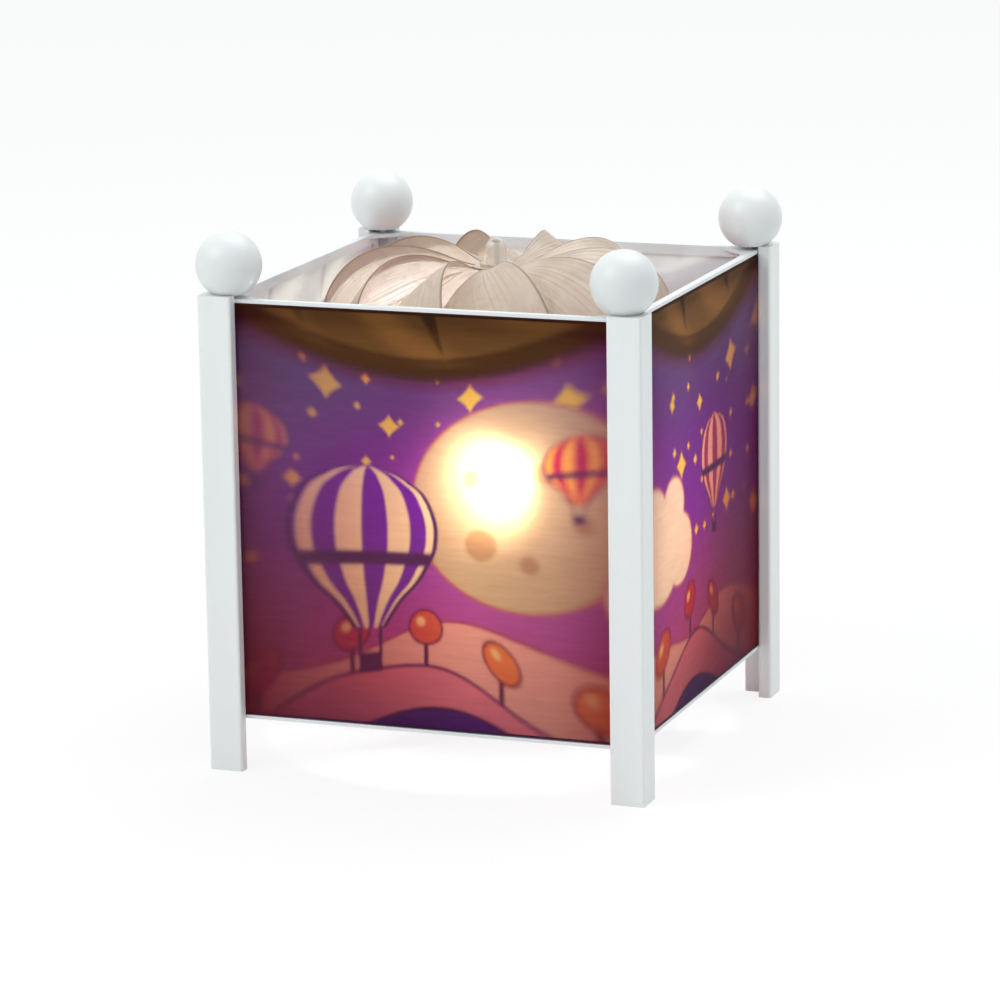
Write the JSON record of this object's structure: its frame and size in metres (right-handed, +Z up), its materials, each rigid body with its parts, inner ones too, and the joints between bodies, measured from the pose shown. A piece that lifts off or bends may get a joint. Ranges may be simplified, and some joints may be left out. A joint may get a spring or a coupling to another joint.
{
  "type": "rotating motion lamp",
  "caption": "Square lantern on wooden posts with ball finials; a picture drum with a film turbine turns on a needle over the bulb and throws its picture on frosted panels.",
  "frame": {"origin": "centre of the footprint, on the surface the posts stand on", "axes": "+Z up along the drum's axis; front towards -Y; +X to the right as seen from the front"},
  "size_m": [0.1658, 0.1658, 0.1894],
  "materials": {
    "white_wood": "satin white paint over smooth wood",
    "white_metal": "semi-gloss white powder coat",
    "frosted_plastic": "translucent, finely frosted",
    "bright_steel": "bright drawn wire and screws",
    "zinc_steel": "zinc-plated sheet",
    "black_rubber": "matte",
    "brass": "turned and pressed brass",
    "cream_bakelite": "moulded thermoset",
    "white_ceramic": "unglazed steatite",
    "nickel": "nickel-plated",
    "black_glass": "black insulating glass with a solder drop",
    "bulb_glass": "clear",
    "filament": "glowing tungsten coil",
    "picture_film": "translucent film, printed in colours",
    "cream_film": "translucent cream film",
    "clear_plastic": "clear moulded plastic"
  },
  "bodies": {
    "housing": {"post_front_left": "white_wood", "post_front_right": "white_wood", "post_back_left": "white_wood", "post_back_right": "white_wood", "ball_front_left": "white_wood", "ball_front_right": "white_wood", "ball_back_left": "white_wood", "ball_back_right": "white_wood", "ball_screws": "bright_steel", "post_screws": "bright_steel", "top_frame": "white_metal", "bottom_frame": "white_metal", "upright_front_left": "white_metal", "upright_front_right": "white_metal", "upright_back_left": "white_metal", "upright_back_right": "white_metal", "panel_front": "frosted_plastic", "panel_right": "frosted_plastic", "panel_back": "frosted_plastic", "panel_left": "frosted_plastic", "bridge": "zinc_steel", "bridge_screws": "bright_steel", "cord_grommet": "black_rubber", "holder_nipple": "brass", "holder_nut": "brass", "holder_cap": "cream_bakelite", "holder_core": "white_ceramic", "holder_skirt": "cream_bakelite", "screw_shell": "brass", "centre_contact": "brass", "bulb_cap": "nickel", "bulb_contact": "black_glass", "bulb_glass": "bulb_glass", "bulb_stem": "bulb_glass", "bulb_leads": "bright_steel", "bulb_filament": "filament", "harp_saddle": "zinc_steel", "harp": "bright_steel", "harp_ferrules": "zinc_steel", "needle_stud": "brass", "needle": "bright_steel"},
    "rotor": {"drum_film": "picture_film", "drum_top_hoop": "cream_film", "drum_bottom_hoop": "cream_film", "drum_seam": "cream_film", "turbine": "cream_film", "turbine_clamp": "clear_plastic", "bearing_cap": "clear_plastic", "bearing_cup": "brass"}
  },
  "joints": [
    {"name": "rotor_spin", "type": "hinge", "parent": "housing", "child": "rotor", "pos_m": [0, 0, 0.1762], "axis": [0, 0, 1], "continuous": true}
  ]
}
